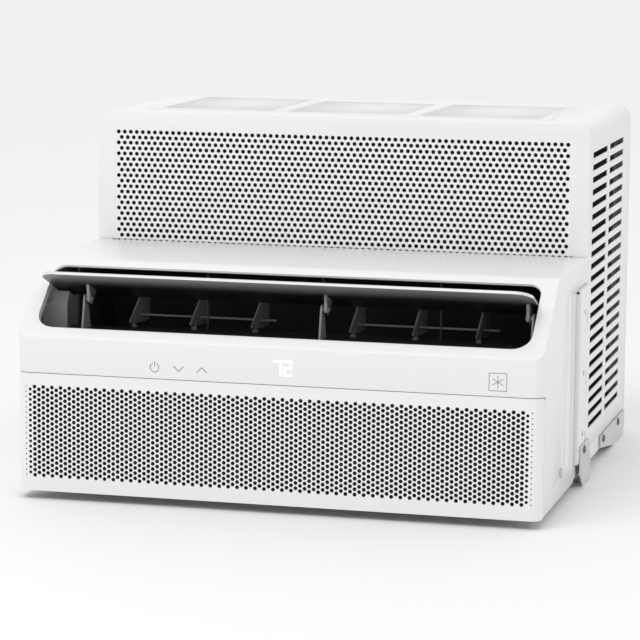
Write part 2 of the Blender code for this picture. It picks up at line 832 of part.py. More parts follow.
def blower_blade(angle):
    inner = BLOWER_RADIUS - 0.011
    outer = BLOWER_RADIUS - 0.001
    wall = 0.0011
    sweep = 0.14
    outline = []
    for radius, lead in ((inner, 0), (outer, sweep)):
        outline.append((radius, angle + lead))
    outline += [(outer, angle + sweep + wall / outer), (inner, angle + wall / inner)]
    points = [(BLOWER_Y + r * math.cos(a), BLOWER_Z + r * math.sin(a)) for r, a in outline]
    return prism("blade", points, BLOWER_LEFT + 0.0008, BLOWER_RIGHT - 0.0008)


def make_blower_motor():
    start = BLOWER_RIGHT + 0.010 + GAP
    end = DUCT_RIGHT - DUCT_WALL
    length = end - start
    radius = 0.031
    profile = (
        (0.0045, length),
        (radius - 0.004, length),
        (radius, length - 0.004),
        (radius, 0.004),
        (radius - 0.004, 0.0),
        (0.0050, 0.0),
        (0.0050, 0.030),
        (0.0, 0.030),
    )
    closed = ((0.0, length), *profile[1:])
    return finish(turned("blower_motor", closed, (start, BLOWER_Y, BLOWER_Z), "X"), "galvanised")


def make_evaporator():
    low = Vector((-0.262, FRONT_Y + 0.041, PAN_TOP + 0.0215))
    high = Vector((0.196, low.y + COIL_DEPTH, 0.1600))
    return finish(coil_block("evaporator_coil", low, high), "aluminium")


def coil_block(name, low, high):
    """The finned block between two end plates."""
    block = box(name, low + Vector((0, 0.001, 0.001)), high - Vector((0, 0.001, 0.001)))
    for x in (low.x, high.x - SHEET):
        join(block, box("end", (x, low.y, low.z), (x + SHEET, high.y, high.z)))
    return block


def make_drain_pan():
    low = Vector((-0.268, pan_front() + SHEET + 0.0062, PAN_TOP + GAP))
    high = Vector((0.200, low.y + 0.048, low.z + 0.0205))
    tray = box("drain_pan", low, high)
    wall = Vector((0.002, 0.002, 0.002))
    cut(tray, box("tray_inside", low + wall, high + Vector((-0.002, -0.002, REACH))))
    return finish(tray, "dark_plastic")


def make_controls():
    low = Vector((0.207, FRONT_Y + 0.020, PAN_TOP + 0.018))
    high = Vector((HALF_WIDTH - PLASTIC - 0.003, low.y + 0.076, 0.160))
    wall = 0.002
    case = box("control_box", low, high)
    inner_low = low + Vector((wall, -REACH, wall))
    inner_high = high - Vector((wall, wall, wall))
    cut(case, box("case_inside", inner_low, inner_high))
    finish(case, "galvanised")
    cover_y = low.y - GAP
    finish(box("control_box_cover", (low.x, cover_y - SHEET, low.z), (high.x, cover_y, high.z)), "galvanised")
    board_low = Vector((low.x + wall + GAP, low.y + 0.040, low.z + wall + GAP))
    board_high = Vector((high.x - wall - GAP, low.y + 0.0416, high.z - wall - GAP))
    board = box("control_board", board_low, board_high)
    for index, size in enumerate((0.012, 0.018, 0.010)):
        z = board_low.z + 0.022 + index * 0.036
        corner = Vector((board_low.x + 0.012, board_low.y - size, z))
        join(board, box("part", corner, corner + Vector((0.020, size + 0.0005, 0.018))))
    return finish(board, "board")


def make_display_board():
    """The circuit behind the touch strip, with its lamp block."""
    y = FRONT_Y + PLASTIC + GAP
    board = box("display_board", (-0.150, y, 0.1405), (0.050, y + 0.0016, 0.1640))
    join(board, box("lamps", (-0.016, y + 0.001, 0.1440), (0.036, y + 0.006, 0.1610)))
    return finish(board, "board")


# Base, bulkhead and outdoor half


def pan_front():
    return FRONT_Y + 0.0175


def pan_outline(inset):
    """Plan of the base: narrow inside the indoor casing, full width under the outdoor case."""
    front_half = HALF_WIDTH - PLASTIC - 0.001 - inset
    rear_half = HALF_WIDTH - 0.0005 - inset
    front = pan_front() + inset
    rear = REAR_Y - 0.0015 - inset
    step = RAIL_Y - GAP * 2 + inset
    round_front = CORNER_RADIUS - PLASTIC - 0.001 - inset
    right = (
        (front_half, front, round_front),
        (front_half, step, 0),
        (rear_half, step, 0),
        (rear_half, rear, 0),
    )
    return rounded([*right, *((-x, y, radius) for x, y, radius in reversed(right))])


def make_base_pan():
    pan = prism("base_pan", pan_outline(0), BASE_FLOOR, BASE_RIM, "XY")
    cut(pan, prism("pan_inside", pan_outline(SHEET), PAN_TOP, BASE_RIM + REACH, "XY"))
    for side in (-1, 1):
        for y in lug_screw_places():
            drill_side(pan, side, y, lug_screw_height(), HALF_WIDTH)
    return finish(pan, "white_paint")


def drill_side(obj, side, y, z, x):
    return drill(obj, (side * (x - 0.006), y, z), (side * (x + 0.006), y, z), SCREW_RADIUS + GAP * 2)


def slot_boxes(side):
    """The two columns of louvre slots in one side of the outdoor case."""
    first = SPLIT_Y + SLOT_FRONT_MARGIN
    last = REAR_Y - SLOT_REAR_MARGIN
    length = (last - first - SLOT_POST) / 2
    top = OUTDOOR_TOP - SLOT_TOP_MARGIN
    rows = int((top - SLOT_HEIGHT - BASE_RIM - SLOT_BOTTOM_MARGIN) / SLOT_PITCH) + 1
    low_x, high_x = sorted((side * (HALF_WIDTH - 0.01), side * (HALF_WIDTH + 0.01)))
    boxes = []
    for start in (first, first + length + SLOT_POST):
        for row in range(rows):
            z = top - row * SLOT_PITCH
            boxes.append(box("slot", (low_x, start, z - SLOT_HEIGHT), (high_x, start + length, z)))
    return boxes


def case_outline(inset, bottom):
    """Front view of the outdoor case: square at the bottom, round at the top."""
    half = HALF_WIDTH - inset
    top = OUTDOOR_TOP - inset
    radius = CASE_CORNER_RADIUS - inset
    return rounded(((-half, bottom, 0), (half, bottom, 0), (half, top, radius), (-half, top, radius)), 6)


def make_wrapper():
    front = SPLIT_Y + PANEL_FOLD + GAP
    rear = REAR_Y - SHEET - GAP
    bottom = BASE_RIM + GAP
    wrapper = prism("cabinet_wrapper", case_outline(0, bottom), front, rear, "XZ")
    inside = case_outline(SHEET, bottom - REACH)
    cut(wrapper, prism("wrapper_inside", inside, front - REACH, rear + REACH, "XZ"))
    cut(wrapper, merged("slots", slot_boxes(-1) + slot_boxes(1)))
    return finish(wrapper, "white_paint")


def make_outdoor_front():
    """The panel above the deck, folded back along its edges and down beside the indoor unit."""
    bottom = DECK_TOP + GAP
    rear = SPLIT_Y + PANEL_FOLD
    panel = prism("outdoor_front_panel", case_outline(0, bottom), SPLIT_Y, rear, "XZ")
    hollow = case_outline(SHEET, bottom - REACH)
    inside = prism("panel_inside", hollow, SPLIT_Y + SHEET, SPLIT_Y + REACH, "XZ")
    cut(panel, inside)
    for side in (-1, 1):
        join(panel, panel_leg(side, rear))
    return finish(panel, "white_paint")


def panel_leg(side, rear):
    """The L-shaped fold that closes the case beside the indoor unit, down to the base."""
    outer, inner, edge = side * HALF_WIDTH, side * (HALF_WIDTH - SHEET), side * (HALF_WIDTH - 0.016)
    front, behind = SPLIT_Y, SPLIT_Y + SHEET
    outline = ((outer, front), (outer, rear), (inner, rear), (inner, behind), (edge, behind), (edge, front))
    return prism("leg", outline, BASE_RIM + GAP, DECK_TOP + 0.004, "XY")


def make_rear_guard():
    """The rear grating in front of the condenser."""
    y = REAR_Y - SHEET
    bottom = BASE_RIM + GAP
    guard = prism("rear_guard", case_outline(0, bottom), y, REAR_Y, "XZ")
    columns, rows, bar = 10, 6, 0.006
    margin = 0.026
    width = (CASE_WIDTH - 2 * margin + bar) / columns
    height = (OUTDOOR_TOP - bottom - 2 * margin + bar) / rows
    windows = []
    for column in range(columns):
        for row in range(rows):
            x = -HALF_WIDTH + margin + column * width
            z = bottom + margin + row * height
            far = (x + width - bar, REAR_Y + 0.01, z + height - bar)
            windows.append(box("window", (x, y - 0.01, z), far))
    cut(guard, merged("windows", windows))
    return finish(guard, "white_paint")


def make_bulkhead():
    """The insulated wall between the indoor and outdoor halves."""
    low = (-HALF_WIDTH + 0.006, SPLIT_Y - 0.016, PAN_TOP + GAP)
    high = (HALF_WIDTH - 0.006, SPLIT_Y - 0.006, DECK_TOP - PLASTIC - GAP)
    wall = box("bulkhead", low, high)
    for x, z in ((suction_x(), SUCTION_Z), (capillary_x(), CAPILLARY_Z)):
        drill(wall, (x, SPLIT_Y - REACH, z), (x, SPLIT_Y + REACH, z), 0.007)
    return finish(wall, "grey_paint")


def make_condenser():
    rear = REAR_Y - SHEET - 0.006
    low = Vector((-HALF_WIDTH + 0.018, rear - COIL_DEPTH, PAN_TOP + GAP))
    high = Vector((HALF_WIDTH - 0.018, rear, OUTDOOR_TOP - 0.016))
    return finish(coil_block("condenser_coil", low, high), "aluminium")


def shroud_y():
    return REAR_Y - SHEET - 0.006 - COIL_DEPTH - 0.004


def make_fan_shroud():
    y = shroud_y()
    low = (-HALF_WIDTH + 0.020, y - 0.002, PAN_TOP + GAP)
    high = (HALF_WIDTH - 0.020, y, OUTDOOR_TOP - 0.006)
    shroud = box("fan_shroud", low, high)
    radius = FAN_RADIUS + FAN_TIP_GAP
    ring = cylinder("ring", (FAN_X, y - 0.024, FAN_Z), (FAN_X, y - 0.001, FAN_Z), radius + 0.0025, 40)
    join(shroud, ring)
    drill(shroud, (FAN_X, y - REACH, FAN_Z), (FAN_X, y + REACH, FAN_Z), radius, 40)
    return finish(shroud, "dark_plastic")


def fan_blade(angle):
    """One pitched blade, from inside the hub to the tip circle."""
    form = bmesh.new()
    spans, chords = 4, 4
    middle = shroud_y() - 0.016
    rows = []
    for i in range(spans + 1):
        radius = FAN_HUB_RADIUS * 0.8 + (FAN_RADIUS - FAN_HUB_RADIUS * 0.8) * i / spans
        row = []
        for j in range(chords + 1):
            share = j / chords - 0.5
            turn = angle + share * math.radians(46) + math.radians(12) * i / spans
            y = middle - share * (0.020 - 0.004 * i / spans) - 0.003 * (1 - 4 * share * share)
            row.append(form.verts.new((FAN_X + radius * math.cos(turn), y, FAN_Z + radius * math.sin(turn))))
        rows.append(row)
    for first, second in zip(rows, rows[1:]):
        for a, b, c, d in zip(first, first[1:], second[1:], second):
            form.faces.new((a, b, c, d))
    bmesh.ops.recalc_face_normals(form, faces=form.faces)
    blade = add_object("blade", mesh_from("blade", form))
    solid = blade.modifiers.new("wall", "SOLIDIFY")
    solid.thickness = 0.0018
    solid.offset = 0
    apply_modifiers(blade)
    return blade


def make_condenser_fan():
    y = shroud_y()
    profile = (
        (0.0, 0.0),
        (FAN_HUB_RADIUS - 0.004, 0.0),
        (FAN_HUB_RADIUS, -0.004),
        (FAN_HUB_RADIUS, -0.028),
        (0.0, -0.028),
    )
    fan = turned("condenser_fan", profile, (FAN_X, y - 0.003, FAN_Z), "Y")
    for index in range(FAN_BLADES):
        join(fan, fan_blade(2 * math.pi * index / FAN_BLADES))
    shaft_start = (FAN_X, y - 0.030, FAN_Z)
    join(fan, cylinder("shaft", shaft_start, (FAN_X, motor_face() - 0.015, FAN_Z), SHAFT_RADIUS, 16))
    return finish(fan, "black_paint")


def motor_face():
    return shroud_y() - 0.050


def make_fan_motor():
    length = 0.060
    y = motor_face()
    profile = (
        (0.0, -0.020),
        (SHAFT_RADIUS + 0.0006, -0.020),
        (SHAFT_RADIUS + 0.0006, 0.0),
        (MOTOR_RADIUS - 0.006, 0.0),
        (MOTOR_RADIUS, -0.006),
        (MOTOR_RADIUS, -length + 0.006),
        (MOTOR_RADIUS - 0.006, -length),
        (0.0, -length),
    )
    finish(turned("condenser_fan_motor", profile, (FAN_X, y, FAN_Z), "Y"), "galvanised")
    plate_y = y - length - GAP
    low_x = FAN_X - 0.030
    high_x = FAN_X + 0.030
    base = PAN_TOP + GAP
    bracket = box("motor_bracket", (low_x, plate_y - 0.002, base), (high_x, plate_y, FAN_Z + 0.05))
    join(bracket, box("foot", (low_x, plate_y - 0.040, base), (high_x, plate_y - 0.001, base + 0.002)))
    return finish(bracket, "galvanised")


def make_compressor():
    base = 0.034
    radius = COMPRESSOR_RADIUS
    top = base + COMPRESSOR_HEIGHT
    profile = (
        (0.0, top),
        (radius * 0.5, top - 0.004),
        (radius * 0.85, top - 0.016),
        (radius, top - 0.034),
        (radius, base + 0.020),
        (radius * 0.85, base + 0.004),
        (radius * 0.85, base),
        (0.0, base),
    )
    body = turned("compressor", profile, (COMPRESSOR_X, COMPRESSOR_Y, 0))
    under = (COMPRESSOR_X, COMPRESSOR_Y, base - 0.003)
    over = (COMPRESSOR_X, COMPRESSOR_Y, base + 0.001)
    plate = cylinder("plate", under, over, 0.078, 3)
    join(body, plate)
    finish(body, "black_paint")
    for index in range(3):
        angle = 2 * math.pi * index / 3 + math.pi / 2
        x = COMPRESSOR_X + 0.062 * math.cos(angle)
        y = COMPRESSOR_Y + 0.062 * math.sin(angle)
        rubber = (
            (0.0, base - 0.003 - GAP),
            (0.008, base - 0.003 - GAP),
            (0.010, base - 0.008),
            (0.008, base - 0.012),
            (0.011, PAN_TOP + GAP),
            (0.0, PAN_TOP + GAP),
        )
        finish(turned(f"compressor_foot_{index + 1}", rubber, (x, y, 0), steps=16), "rubber")


def make_accumulator():
    radius = ACCUMULATOR_RADIUS
    profile = (
        (0.0, 0.205),
        (0.007, 0.203),
        (radius, 0.190),
        (radius, 0.092),
        (0.007, 0.078),
        (0.0, 0.076),
    )
    body = turned("accumulator", profile, (ACCUMULATOR_X, ACCUMULATOR_Y, 0), steps=20)
    toward = Vector((COMPRESSOR_X - ACCUMULATOR_X, COMPRESSOR_Y - ACCUMULATOR_Y, 0)).normalized()
    start = Vector((ACCUMULATOR_X, ACCUMULATOR_Y, 0.082))
    centre = Vector((COMPRESSOR_X, COMPRESSOR_Y, 0.062))
    end = centre - toward * (COMPRESSOR_RADIUS + 0.0006)
    low = Vector((ACCUMULATOR_X, ACCUMULATOR_Y, 0.062))
    join(body, tube("pipe", bent((start, low, end), 0.008), PIPE_RADIUS))
    return finish(body, "black_paint")


def suction_x():
    return -0.252


def capillary_x():
    return -0.225


def make_pipes():
    """Refrigerant lines: from the evaporator to the accumulator, to the condenser, and back."""
    evaporator_y = FRONT_Y + 0.041 + COIL_DEPTH
    condenser_y = REAR_Y - SHEET - 0.006 - COIL_DEPTH
    top = COMPRESSOR_HEIGHT + 0.034
    suction = (
        (suction_x(), evaporator_y + GAP, SUCTION_Z),
        (suction_x(), 0.040, SUCTION_Z),
        (suction_x(), 0.040, 0.250),
        (ACCUMULATOR_X, ACCUMULATOR_Y, 0.250),
        (ACCUMULATOR_X, ACCUMULATOR_Y, 0.2055),
    )
    finish(tube("suction_line", bent(suction, 0.012), PIPE_RADIUS), "copper")
    discharge = (
        (COMPRESSOR_X, COMPRESSOR_Y, top + 0.0005),
        (COMPRESSOR_X, COMPRESSOR_Y, top + 0.060),
        (COMPRESSOR_X - 0.060, COMPRESSOR_Y, top + 0.060),
        (-HALF_WIDTH + 0.014, 0.190, top + 0.060),
        (-HALF_WIDTH + 0.014, condenser_y + 0.010, top + 0.060),
    )
    finish(tube("discharge_line", bent(discharge, 0.014), PIPE_RADIUS * 0.9), "copper")
    capillary = (
        (capillary_x(), evaporator_y + GAP, CAPILLARY_Z),
        (capillary_x(), 0.010, CAPILLARY_Z),
        (-0.092, 0.030, CAPILLARY_Z),
        (-0.092, 0.190, CAPILLARY_Z),
        (-HALF_WIDTH + 0.014, 0.205, CAPILLARY_Z),
        (-HALF_WIDTH + 0.014, condenser_y + 0.010, CAPILLARY_Z),
    )
    finish(tube("capillary_line", bent(capillary, 0.012), CAPILLARY_RADIUS), "copper")


# Side rails, feet and screws


def make_side_rail(side):
    """The channel beside the deck that a window filler panel slides into."""
    name = side_name("side_rail", side)
    low_x, high_x = HALF_WIDTH - 0.0035, RAIL_X
    rear = SPLIT_Y - 0.0004
    front = RAIL_Y
    low = BASE_RIM + GAP
    corners = ((front, low, 0), (rear, low, 0), (rear, RAIL_TOP, 0.003), (front, RAIL_TOP, 0.008))
    outline = rounded(corners, 3)
    rail = prism(name, outline, low_x, high_x)
    inner_low = (low_x - REACH, front + RAIL_WALL, BASE_RIM - REACH)
    inner_high = (high_x - RAIL_WALL, rear - RAIL_WALL, RAIL_TOP - RAIL_WALL)
    cut(rail, box("channel", inner_low, inner_high))
    groove_low = (high_x - 0.0009, front + 0.0030, 0.075)
    groove = box("groove", groove_low, (high_x + 0.01, front + 0.0055, RAIL_TOP - 0.006))
    cuts = [groove]
    for index in range(3):
        z = RAIL_TOP - 0.0265 - index * RAIL_SLOT_PITCH
        y = rear - 0.022
        cuts.append(box("slot", (high_x - 0.01, y, z - 0.016), (high_x + 0.01, y + 0.0035, z)))
        hook_y = rear - 0.036
        cuts.append(cylinder("hook_hole", (high_x - 0.01, hook_y, z), (high_x + 0.01, hook_y, z), 0.0035, 12))
        hole = z - 0.020
        through = (high_x + 0.01, hook_y, hole)
        cuts.append(cylinder("hole", (high_x - 0.01, hook_y, hole), through, 0.0016, 10))
    cut(rail, merged("openings", cuts))
    y = bracket_screw_y()
    z = bracket_screw_z()
    drill(rail, (high_x - 0.006, y, z), (high_x + 0.006, y, z), SCREW_RADIUS + GAP * 2)
    return finish(flip_to(rail, side), "white_paint")


def flip_to(obj, side):
    """Turn a right-hand solid into the left-hand one."""
    if side < 0:
        obj.data.transform(Matrix.Scale(-1, 4, (1, 0, 0)))
        obj.data.flip_normals()
    return obj


def bracket_screw_y():
    return SPLIT_Y - 0.036


def bracket_screw_z():
    return BASE_RIM + 0.0120


def make_hook_bracket(side):
    """The foot under the rail that catches the window sill."""
    name = side_name("sill_bracket", side)
    low_x = RAIL_X + GAP
    high_x = low_x + LUG_WALL
    rear = SPLIT_Y + 0.012
    front = SPLIT_Y - 0.056
    top = BASE_RIM + 0.018
    outline = (
        (front, top),
        (front, 0.016),
        (front + 0.020, 0.0),
        (rear, 0.0),
        (rear, 0.020),
        (rear - 0.012, top),
    )
    plate = prism(name, outline, low_x, high_x)
    join(plate, box("foot", (HALF_WIDTH - 0.022, front + 0.022, 0.0), (high_x - 0.0005, rear, LUG_WALL)))
    y, z = bracket_screw_y(), bracket_screw_z()
    drill(plate, (low_x - 0.006, y, z), (low_x + 0.008, y, z), SCREW_RADIUS + GAP * 2)
    return finish(flip_to(plate, side), "grey_paint")


def make_screw(name, side, x, y, z):
    """A pan-head screw that enters from the side."""
    profile = (
        (0.0, SCREW_HEAD_HEIGHT),
        (SCREW_HEAD_RADIUS * 0.6, SCREW_HEAD_HEIGHT * 0.9),
        (SCREW_HEAD_RADIUS, SCREW_HEAD_HEIGHT * 0.35),
        (SCREW_HEAD_RADIUS, 0.0),
        (SCREW_RADIUS, 0.0),
        (SCREW_RADIUS, -0.0055),
        (0.0, -0.0065),
    )
    screw = turned(name, profile, (x, y, z), "X", 16)
    return finish(flip_to(screw, side), "screw_steel")


def lug_screw_places():
    return SPLIT_Y + 0.125, REAR_Y - 0.061


def lug_screw_height():
    return BASE_RIM - 0.006


def make_rear_lug(side):
    """The support lug under the rear of the base."""
    low_x = HALF_WIDTH + GAP
    high_x = low_x + LUG_WALL
    front = SPLIT_Y + 0.108
    rear = REAR_Y - 0.008
    outline = (
        (front, BASE_RIM - 0.0005),
        (front, 0.0145),
        (SPLIT_Y + 0.205, 0.0),
        (rear - 0.010, 0.0),
        (rear, 0.010),
        (rear, BASE_RIM - 0.0005),
    )
    lug = prism(side_name("rear_lug", side), outline, low_x, high_x)
    foot_low = (HALF_WIDTH - 0.020, SPLIT_Y + 0.207, 0.0)
    join(lug, box("foot", foot_low, (high_x - 0.0005, rear - 0.011, LUG_WALL)))
    for y in lug_screw_places():
        z = lug_screw_height()
        drill(lug, (low_x - 0.006, y, z), (low_x + 0.008, y, z), SCREW_RADIUS + GAP * 2)
    return finish(flip_to(lug, side), "grey_paint")


def make_side_hardware():
    for side in (-1, 1):
        make_side_rail(side)
        make_hook_bracket(side)
        make_rear_lug(side)
        bracket_x = RAIL_X + GAP * 2 + LUG_WALL
        make_screw(side_name("bracket_screw", side), side, bracket_x, bracket_screw_y(), bracket_screw_z())
        lug_x = HALF_WIDTH + GAP * 2 + LUG_WALL
        for place, y in zip(("front", "rear"), lug_screw_places()):
            make_screw(side_name(f"lug_screw_{place}", side), side, lug_x, y, lug_screw_height())


def build():
    make_base_pan()
    make_bulkhead()
    make_front_shell()
    make_front_grille()
    make_grille_hinge(-1)
    make_grille_hinge(1)
    make_air_filter()
    make_cord_inlet()
    make_flap()
    make_supports()
    make_flap_drive()
    make_outlet_floor()
    make_vanes()
    make_scroll()
    make_blower()
    make_blower_motor()
    make_evaporator()
    make_drain_pan()
    make_controls()
    make_display_board()
    make_wrapper()
    make_outdoor_front()
    make_rear_guard()
    make_condenser()
    make_fan_shroud()
    make_condenser_fan()
    make_fan_motor()
    make_compressor()
    make_accumulator()
    make_pipes()
    make_side_hardware()


clear_scene()
PARTS = new_collection("window_air_conditioner")
SHARED = {name: new_material(name) for name in MATERIALS}
build()
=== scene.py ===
"""Looks, lights and camera for the window air conditioner.

Run by Blender after the CAD model has been packed. Lengths are in metres, +Z up, -Y towards the room.
"""

import json
import math

import bpy
from mathutils import Matrix, Vector


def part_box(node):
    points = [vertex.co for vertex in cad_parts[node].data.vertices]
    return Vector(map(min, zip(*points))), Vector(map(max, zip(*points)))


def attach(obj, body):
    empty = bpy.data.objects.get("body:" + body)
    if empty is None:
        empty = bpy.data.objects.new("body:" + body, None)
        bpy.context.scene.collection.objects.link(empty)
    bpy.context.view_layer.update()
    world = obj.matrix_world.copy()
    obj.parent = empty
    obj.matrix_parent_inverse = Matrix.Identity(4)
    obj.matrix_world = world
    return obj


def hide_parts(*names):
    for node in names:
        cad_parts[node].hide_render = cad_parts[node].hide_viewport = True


# Sizes that the CAD model doesn't state as a box.
CORNER_RADIUS = 0.012
CREASE_HEIGHT = 0.173
SLOPE_END_RADIUS = 0.008
PANEL_WALL = 0.0012
GRILLE_WALL = 0.0022
GRILLE_TOP_RADIUS = 0.009
GRILLE_END_GAP = 0.0004
# Depth of the black sheet of painted shade behind the grille's holes.
GRILLE_SHADE_SHEET_DEPTH = 0.0027
# Place and size of the black sheet of painted shade behind the outdoor hole field.
PANEL_SHADE_SHEET_DEPTH = 0.008
PANEL_SHADE_SHEET_FOLD = 0.004
PANEL_SHADE_SHEET_LOW = 0.2475
PANEL_SHADE_SHEET_HIGH = 0.3780
PRESSING_DEPTH = 0.0008
FLAP_ARM_HEIGHT = 0.028
FLAP_TILT = math.radians(22)
FACING_LIMIT = 0.6
MARK_LIFT = 0.00005

# Hole patterns, and the shrinking of the grille's outermost columns.
EDGE_COLUMN_SCALES = (0.35, 0.8, 1.0)
GRILLE_HOLE_RADIUS = 0.00210
PANEL_HOLE_RADIUS = 0.00228
HOLE_SIDES = 12
GRILLE_COLUMNS = 113
GRILLE_ROWS = 18
GRILLE_COLUMN_PITCH = 0.00482
GRILLE_HOLE_PITCH = 0.00555
GRILLE_HOLES_LOW = 0.0252
PANEL_HOLES = 73
PANEL_HOLE_PITCH = 0.007107
PANEL_ROW_PITCH = 0.006155
PANEL_ROWS = 21
PANEL_HOLES_CENTRE = 0.3056

# Pressings in the top: low x, high x, low y, high y.
TOP_PANELS = (
    (-0.225, -0.095, 0.055, 0.235),
    (-0.075, 0.060, 0.050, 0.215),
    (0.080, 0.215, 0.040, 0.215),
    (-0.235, 0.235, 0.020, 0.028),
)

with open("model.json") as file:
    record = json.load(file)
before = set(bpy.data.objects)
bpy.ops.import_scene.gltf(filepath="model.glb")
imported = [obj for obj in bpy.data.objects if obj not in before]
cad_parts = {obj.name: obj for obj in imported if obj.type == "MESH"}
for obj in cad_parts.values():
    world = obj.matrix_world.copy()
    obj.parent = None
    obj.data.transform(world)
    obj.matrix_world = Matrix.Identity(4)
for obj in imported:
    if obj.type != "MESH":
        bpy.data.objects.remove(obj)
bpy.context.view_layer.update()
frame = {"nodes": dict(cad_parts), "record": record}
SHELL_LOW, SHELL_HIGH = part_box("front_shell")


# Materials

NOISE_DETAIL = 4
BUMP_DISTANCE = 0.0004
FIN_LINE_SCALE = 260.0
FIN_LIGHT = (0.62, 0.63, 0.64)
# Near-black painted shade for the gaps between coil fins.
FIN_GAP_SHADE = (0.02, 0.02, 0.02)


def new_material(name, color, roughness, metallic=0.0, coat=0.0, spread=0.0, bump=0.0, scale=60.0):
    """A surface whose roughness and height vary a little with 3-D noise."""
    material = bpy.data.materials.new(name)
    material.use_nodes = True
    nodes = material.node_tree.nodes
    links = material.node_tree.links
    shader = nodes["Principled BSDF"]
    shader.inputs["Base Color"].default_value = (*color, 1)
    shader.inputs["Roughness"].default_value = roughness
    shader.inputs["Metallic"].default_value = metallic
    shader.inputs["Coat Weight"].default_value = coat
    place = nodes.new("ShaderNodeTexCoord")
    noise = nodes.new("ShaderNodeTexNoise")
    noise.inputs["Scale"].default_value = scale
    noise.inputs["Detail"].default_value = NOISE_DETAIL
    links.new(place.outputs["Object"], noise.inputs["Vector"])
    spread_range = nodes.new("ShaderNodeMapRange")
    spread_range.inputs["To Min"].default_value = roughness - spread
    spread_range.inputs["To Max"].default_value = roughness + spread
    links.new(noise.outputs["Fac"], spread_range.inputs["Value"])
    links.new(spread_range.outputs["Result"], shader.inputs["Roughness"])
    if bump:
        height = nodes.new("ShaderNodeBump")
        height.inputs["Strength"].default_value = bump
        height.inputs["Distance"].default_value = BUMP_DISTANCE
        links.new(noise.outputs["Fac"], height.inputs["Height"])
        links.new(height.outputs["Normal"], shader.inputs["Normal"])
    return material


def new_glow(name, color, strength):
    """A surface that gives off light, as a lit digit does."""
    material = new_material(name, color, 0.4)
    shader = material.node_tree.nodes["Principled BSDF"]
    shader.inputs["Emission Color"].default_value = (*color, 1)
    shader.inputs["Emission Strength"].default_value = strength
    return material


def fin_material():
    """Aluminium with fine dark lines of painted shade between the coil fins' edges."""
    material = new_material("fin_stock", FIN_LIGHT, 0.35, 0.9, spread=0.08)
    nodes = material.node_tree.nodes
    links = material.node_tree.links
    wave = nodes.new("ShaderNodeTexWave")
    wave.bands_direction = "X"
    wave.inputs["Scale"].default_value = FIN_LINE_SCALE
    place = nodes.new("ShaderNodeTexCoord")
    links.new(place.outputs["Object"], wave.inputs["Vector"])
    ramp = nodes.new("ShaderNodeValToRGB")
    ramp.color_ramp.elements[0].color = (*FIN_GAP_SHADE, 1)
    ramp.color_ramp.elements[1].color = (*FIN_LIGHT, 1)
    links.new(wave.outputs["Fac"], ramp.inputs["Fac"])
    links.new(ramp.outputs["Color"], nodes["Principled BSDF"].inputs["Base Color"])
    return material


def shaded_material(name, near, far, start, end):
    """A colour that goes from near to far as y goes from start to end, used for painted shade."""
    material = new_material(name, near, 0.4, spread=0.04)
    nodes = material.node_tree.nodes
    links = material.node_tree.links
    place = nodes.new("ShaderNodeTexCoord")
    split = nodes.new("ShaderNodeSeparateXYZ")
    links.new(place.outputs["Object"], split.inputs["Vector"])
    along = nodes.new("ShaderNodeMapRange")
    along.inputs["From Min"].default_value = start
    along.inputs["From Max"].default_value = end
    links.new(split.outputs["Y"], along.inputs["Value"])
    ramp = nodes.new("ShaderNodeValToRGB")
    ramp.color_ramp.elements[0].color = (*near, 1)
    ramp.color_ramp.elements[1].color = (*far, 1)
    links.new(along.outputs["Result"], ramp.inputs["Fac"])
    links.new(ramp.outputs["Color"], nodes["Principled BSDF"].inputs["Base Color"])
    return material


WHITE = (0.80, 0.80, 0.80)
FINISHES = {
    "white_plastic": new_material(
        "white_plastic", WHITE, 0.32, coat=0.12, spread=0.04, bump=0.02, scale=900
    ),
    "white_paint": new_material("white_paint", WHITE, 0.38, spread=0.05, bump=0.05, scale=700),
    "grey_paint": new_material(
        "grey_paint", (0.58, 0.58, 0.58), 0.42, spread=0.06, bump=0.05, scale=500
    ),
    "dark_plastic": new_material(
        "dark_plastic", (0.035, 0.035, 0.037), 0.45, spread=0.08, bump=0.04, scale=400
    ),
    "grey_plastic": new_material(
        "grey_plastic", (0.10, 0.10, 0.104), 0.42, spread=0.08, bump=0.04, scale=400
    ),
    "black_paint": new_material("black_paint", (0.018, 0.018, 0.02), 0.35, spread=0.1),
    "aluminium": fin_material(),
    "galvanised": new_material("galvanised", (0.42, 0.43, 0.44), 0.40, 0.85, spread=0.12, scale=45),
    "copper": new_material("copper", (0.62, 0.27, 0.15), 0.30, 1.0, spread=0.08, scale=80),
    "rubber": new_material("rubber", (0.015, 0.015, 0.015), 0.75, spread=0.08, bump=0.1),
    "board": new_material("board", (0.01, 0.10, 0.04), 0.45, spread=0.1),
    "screw_steel": new_material("screw_steel", (0.16, 0.16, 0.165), 0.35, 0.8, spread=0.1),
    "filter_mesh": new_material("filter_mesh", (0.012, 0.012, 0.012), 0.6, spread=0.1),
}
VANE_GREY = new_material("vane_grey", (0.24, 0.24, 0.245), 0.4, spread=0.06)
BLOCK_GREY = new_material("block_grey", (0.34, 0.34, 0.345), 0.42, spread=0.06)
# Near-black painted shade for hole walls and the backs of the perforated sheets.
HOLE_SHADE = new_material("hole_shade", (0.015, 0.015, 0.015), 0.6, spread=0.05)
# Near-black painted shade for the sheets behind the hole fields.
SHADE_SHEET_BLACK = new_material("painted_shade_black", (0.006, 0.006, 0.006), 0.8, spread=0.05)
# Painted shade for the flap's inner face, grey at its front edge and near-black further back.
FLAP_PAINTED_SHADE = shaded_material(
    "flap_painted_shade", (0.24, 0.24, 0.245), (0.012, 0.012, 0.012), -0.262, -0.222
)
INK = new_material("printed_ink", (0.055, 0.055, 0.06), 0.5, spread=0.05)
PALE_INK = new_material("pale_ink", (0.22, 0.22, 0.23), 0.5, spread=0.05)
GLOW = new_glow("lit_digits", (1, 1, 1), 0.75)
# Light grey painted shade for the floors of the top pressings.
PRESSING_SHADE = new_material("embossed_shade", (0.76, 0.76, 0.76), 0.5, spread=0.05)


def paint(obj, material):
    obj.data.materials.clear()
    obj.data.materials.append(material)


